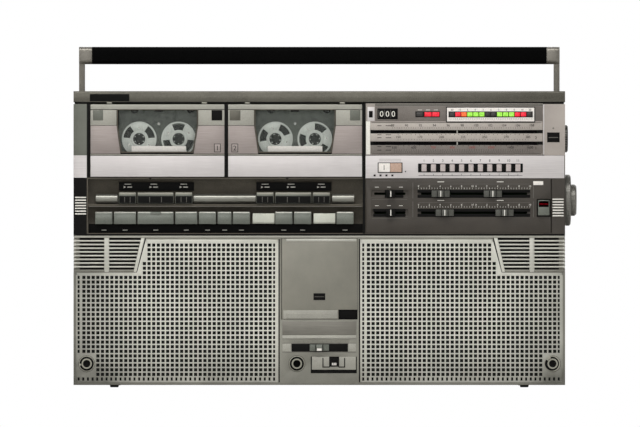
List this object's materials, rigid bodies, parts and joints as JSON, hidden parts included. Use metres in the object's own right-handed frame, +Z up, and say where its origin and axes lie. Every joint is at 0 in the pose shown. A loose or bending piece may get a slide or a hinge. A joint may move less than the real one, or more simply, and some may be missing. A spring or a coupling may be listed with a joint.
{
  "type": "cassette player",
  "caption": "Portable stereo radio with two cassette decks side by side, piano-style keys, slider controls, perforated speaker fronts and a folding carry handle.",
  "frame": {"origin": "middle of the footprint of the whole object, on the surface it stands on", "axes": "+X right seen from the front, -Y out of the front face, +Z up"},
  "size_m": [0.543, 0.146, 0.368],
  "materials": {
    "cabinet": "metallic paint on moulded plastic, satin",
    "cabinet_rear": "moulded, fine texture",
    "grille": "perforated and painted, satin",
    "dark_panel": "satin dark brown-grey",
    "dial": "printed clear plastic",
    "key": "metallic grey, satin",
    "door": "brushed face on moulded frame",
    "window": "clear, slightly smoked",
    "tape_shell": "smoked",
    "reel": "bright satin",
    "spindle": "moulded black",
    "arm": "painted grey",
    "grip": "black, softly ribbed",
    "slider_cap": "metallic grey",
    "knob": "turned and ribbed",
    "pointer": "red",
    "plated": "bright plated",
    "speaker": "black paper cone and steel basket",
    "mechanism": "zinc plated",
    "board": "laminate",
    "rubber": "matte black",
    "screw": "blackened"
  },
  "bodies": {
    "case": {"front_cabinet": "cabinet", "rear_cabinet": "cabinet_rear", "speaker_grilles": "grille", "tweeter_louvres": "cabinet", "control_panel": "dark_panel", "dial_scale": "dial", "jack_sockets": "plated", "loudspeakers": "speaker", "deck_mechanisms": "mechanism", "circuit_boards": "board", "rubber_feet": "rubber", "case_screws": "screw"},
    "handle": {"handle_arms": "arm", "handle_grip": "grip"},
    "left_door": {"left_deck_door": "door", "left_door_window": "window", "left_cassette": "tape_shell"},
    "right_door": {"right_deck_door": "door", "right_door_window": "window", "right_cassette": "tape_shell"},
    "storage_door": {"storage_door": "cabinet"},
    "antenna": {"antenna_tube": "plated"},
    "antenna_rod": {"antenna_rod": "plated"},
    "tuning_knob": {"tuning_knob": "knob"},
    "dial_pointer": {"dial_pointer": "pointer"},
    "band_wheel": {"band_wheel": "knob"},
    "battery_cover": {"battery_cover": "cabinet_rear"},
    "volume_slider": {"volume_slider": "slider_cap"},
    "treble_slider": {"treble_slider": "slider_cap"},
    "bass_slider": {"bass_slider": "slider_cap"},
    "balance_slider": {"balance_slider": "slider_cap"},
    "meter_switch": {"meter_switch": "slider_cap"},
    "function_switch": {"function_switch": "slider_cap"},
    "mic_mixing_slider": {"mic_mixing_slider": "slider_cap"},
    "mic_level_slider": {"mic_level_slider": "slider_cap"},
    "power_button": {"power_button": "slider_cap"},
    "left_pause_key": {"left_pause_key": "key"},
    "left_record_key": {"left_record_key": "key"},
    "left_play_key": {"left_play_key": "key"},
    "left_rewind_key": {"left_rewind_key": "key"},
    "left_stop_key": {"left_stop_key": "key"},
    "left_forward_key": {"left_forward_key": "key"},
    "right_pause_key": {"right_pause_key": "key"},
    "right_rewind_key": {"right_rewind_key": "key"},
    "right_forward_key": {"right_forward_key": "key"},
    "right_play_key": {"right_play_key": "key"},
    "left_search_back_key": {"left_search_back_key": "key"},
    "left_search_key": {"left_search_key": "key"},
    "left_search_forward_key": {"left_search_forward_key": "key"},
    "right_search_back_key": {"right_search_back_key": "key"},
    "right_search_key": {"right_search_key": "key"},
    "right_search_forward_key": {"right_search_forward_key": "key"},
    "left_left_spindle": {"left_deck_left_spindle": "spindle"},
    "left_left_reel": {"left_tape_left_reel": "reel"},
    "left_right_spindle": {"left_deck_right_spindle": "spindle"},
    "left_right_reel": {"left_tape_right_reel": "reel"},
    "right_left_spindle": {"right_deck_left_spindle": "spindle"},
    "right_left_reel": {"right_tape_left_reel": "reel"},
    "right_right_spindle": {"right_deck_right_spindle": "spindle"},
    "right_right_reel": {"right_tape_right_reel": "reel"}
  },
  "joints": [
    {"name": "handle_fold", "type": "hinge", "parent": "case", "child": "handle", "pos_m": [-0.0065, -0.022, 0.3125], "axis": [-1, 0, 0], "range_deg": [0, 90]},
    {"name": "left_door_tilt", "type": "hinge", "parent": "case", "child": "left_door", "pos_m": [-0.181, -0.0655, 0.2282], "axis": [1, 0, 0], "range_deg": [0, 28]},
    {"name": "right_door_tilt", "type": "hinge", "parent": "case", "child": "right_door", "pos_m": [-0.0326, -0.0655, 0.2282], "axis": [1, 0, 0], "range_deg": [0, 28]},
    {"name": "storage_door_swing", "type": "hinge", "parent": "case", "child": "storage_door", "pos_m": [-0.046, -0.0655, 0.117], "axis": [0, 0, -1], "range_deg": [0, 95]},
    {"name": "antenna_tilt", "type": "hinge", "parent": "case", "child": "antenna", "pos_m": [0.2285, 0.058, 0.3095], "axis": [0, 1, 0], "range_deg": [0, 90]},
    {"name": "antenna_extend", "type": "slide", "parent": "antenna", "child": "antenna_rod", "axis": [-1, 0, 0], "range_m": [0, 0.15]},
    {"name": "tuning_turn", "type": "hinge", "parent": "case", "child": "tuning_knob", "pos_m": [0.2585, -0.034, 0.202], "axis": [1, 0, 0], "range_deg": [-555, 510]},
    {"name": "pointer_travel", "type": "slide", "parent": "case", "child": "dial_pointer", "axis": [1, 0, 0], "range_m": [-0.0855, 0.0785]},
    {"name": "band_turn", "type": "hinge", "parent": "case", "child": "band_wheel", "pos_m": [0.2585, -0.043, 0.2684], "axis": [1, 0, 0], "range_deg": [-45, 45]},
    {"name": "battery_cover_pull", "type": "slide", "parent": "case", "child": "battery_cover", "axis": [0, 1, 0], "range_m": [0, 0.03]},
    {"name": "volume_slide", "type": "slide", "parent": "case", "child": "volume_slider", "axis": [1, 0, 0], "range_m": [-0.0095, 0.0295]},
    {"name": "treble_slide", "type": "slide", "parent": "case", "child": "treble_slider", "axis": [1, 0, 0], "range_m": [-0.0135, 0.0255]},
    {"name": "bass_slide", "type": "slide", "parent": "case", "child": "bass_slider", "axis": [1, 0, 0], "range_m": [-0.018, 0.021]},
    {"name": "balance_slide", "type": "slide", "parent": "case", "child": "balance_slider", "axis": [1, 0, 0], "range_m": [-0.022, 0.017]},
    {"name": "meter_switch_slide", "type": "slide", "parent": "case", "child": "meter_switch", "axis": [1, 0, 0], "range_m": [-0.008, 0.008]},
    {"name": "function_switch_slide", "type": "slide", "parent": "case", "child": "function_switch", "axis": [1, 0, 0], "range_m": [-0.008, 0.008]},
    {"name": "mic_mixing_slide", "type": "slide", "parent": "case", "child": "mic_mixing_slider", "axis": [1, 0, 0], "range_m": [-0.018, 0.018]},
    {"name": "mic_level_slide", "type": "slide", "parent": "case", "child": "mic_level_slider", "axis": [1, 0, 0], "range_m": [-0.0065, 0.0065]},
    {"name": "power_press", "type": "slide", "parent": "case", "child": "power_button", "axis": [0, 1, 0], "range_m": [0, 0.003], "stiffness_N_per_m": 500},
    {"name": "left_pause_press", "type": "slide", "parent": "case", "child": "left_pause_key", "axis": [0, 1, 0], "range_m": [0, 0.004], "stiffness_N_per_m": 400},
    {"name": "left_record_press", "type": "slide", "parent": "case", "child": "left_record_key", "axis": [0, 1, 0], "range_m": [0, 0.004], "stiffness_N_per_m": 400},
    {"name": "left_play_press", "type": "slide", "parent": "case", "child": "left_play_key", "axis": [0, 1, 0], "range_m": [0, 0.004], "stiffness_N_per_m": 400},
    {"name": "left_rewind_press", "type": "slide", "parent": "case", "child": "left_rewind_key", "axis": [0, 1, 0], "range_m": [0, 0.004], "stiffness_N_per_m": 400},
    {"name": "left_stop_press", "type": "slide", "parent": "case", "child": "left_stop_key", "axis": [0, 1, 0], "range_m": [0, 0.004], "stiffness_N_per_m": 400},
    {"name": "left_forward_press", "type": "slide", "parent": "case", "child": "left_forward_key", "axis": [0, 1, 0], "range_m": [0, 0.004], "stiffness_N_per_m": 400},
    {"name": "right_pause_press", "type": "slide", "parent": "case", "child": "right_pause_key", "axis": [0, 1, 0], "range_m": [0, 0.004], "stiffness_N_per_m": 400},
    {"name": "right_rewind_press", "type": "slide", "parent": "case", "child": "right_rewind_key", "axis": [0, 1, 0], "range_m": [0, 0.004], "stiffness_N_per_m": 400},
    {"name": "right_forward_press", "type": "slide", "parent": "case", "child": "right_forward_key", "axis": [0, 1, 0], "range_m": [0, 0.004], "stiffness_N_per_m": 400},
    {"name": "right_play_press", "type": "slide", "parent": "case", "child": "right_play_key", "axis": [0, 1, 0], "range_m": [0, 0.004], "stiffness_N_per_m": 400},
    {"name": "left_search_back_press", "type": "slide", "parent": "case", "child": "left_search_back_key", "axis": [0, 1, 0], "range_m": [0, 0.004], "stiffness_N_per_m": 400},
    {"name": "left_search_press", "type": "slide", "parent": "case", "child": "left_search_key", "axis": [0, 1, 0], "range_m": [0, 0.004], "stiffness_N_per_m": 400},
    {"name": "left_search_forward_press", "type": "slide", "parent": "case", "child": "left_search_forward_key", "axis": [0, 1, 0], "range_m": [0, 0.004], "stiffness_N_per_m": 400},
    {"name": "right_search_back_press", "type": "slide", "parent": "case", "child": "right_search_back_key", "axis": [0, 1, 0], "range_m": [0, 0.004], "stiffness_N_per_m": 400},
    {"name": "right_search_press", "type": "slide", "parent": "case", "child": "right_search_key", "axis": [0, 1, 0], "range_m": [0, 0.004], "stiffness_N_per_m": 400},
    {"name": "right_search_forward_press", "type": "slide", "parent": "case", "child": "right_search_forward_key", "axis": [0, 1, 0], "range_m": [0, 0.004], "stiffness_N_per_m": 400},
    {"name": "left_left_spindle_spin", "type": "hinge", "parent": "case", "child": "left_left_spindle", "pos_m": [-0.20085, -0.047, 0.268], "axis": [0, -1, 0], "continuous": true},
    {"name": "left_left_reel_spin", "type": "hinge", "parent": "left_door", "child": "left_left_reel", "pos_m": [-0.20085, -0.0567, 0.268], "axis": [0, -1, 0], "continuous": true},
    {"name": "left_right_spindle_spin", "type": "hinge", "parent": "case", "child": "left_right_spindle", "pos_m": [-0.15835, -0.047, 0.268], "axis": [0, -1, 0], "continuous": true},
    {"name": "left_right_reel_spin", "type": "hinge", "parent": "left_door", "child": "left_right_reel", "pos_m": [-0.15835, -0.0567, 0.268], "axis": [0, -1, 0], "continuous": true},
    {"name": "right_left_spindle_spin", "type": "hinge", "parent": "case", "child": "right_left_spindle", "pos_m": [-0.05385, -0.047, 0.268], "axis": [0, -1, 0], "continuous": true},
    {"name": "right_left_reel_spin", "type": "hinge", "parent": "right_door", "child": "right_left_reel", "pos_m": [-0.05385, -0.0567, 0.268], "axis": [0, -1, 0], "continuous": true},
    {"name": "right_right_spindle_spin", "type": "hinge", "parent": "case", "child": "right_right_spindle", "pos_m": [-0.01135, -0.047, 0.268], "axis": [0, -1, 0], "continuous": true},
    {"name": "right_right_reel_spin", "type": "hinge", "parent": "right_door", "child": "right_right_reel", "pos_m": [-0.01135, -0.0567, 0.268], "axis": [0, -1, 0], "continuous": true}
  ],
  "couplings": [
    {"joint": "pointer_travel", "follows": "tuning_turn", "m_per_rad": 0.00875},
    {"joint": "left_left_spindle_spin", "follows": "left_left_reel_spin", "ratio": 1},
    {"joint": "left_right_spindle_spin", "follows": "left_right_reel_spin", "ratio": 1},
    {"joint": "right_left_spindle_spin", "follows": "right_left_reel_spin", "ratio": 1},
    {"joint": "right_right_spindle_spin", "follows": "right_right_reel_spin", "ratio": 1}
  ]
}
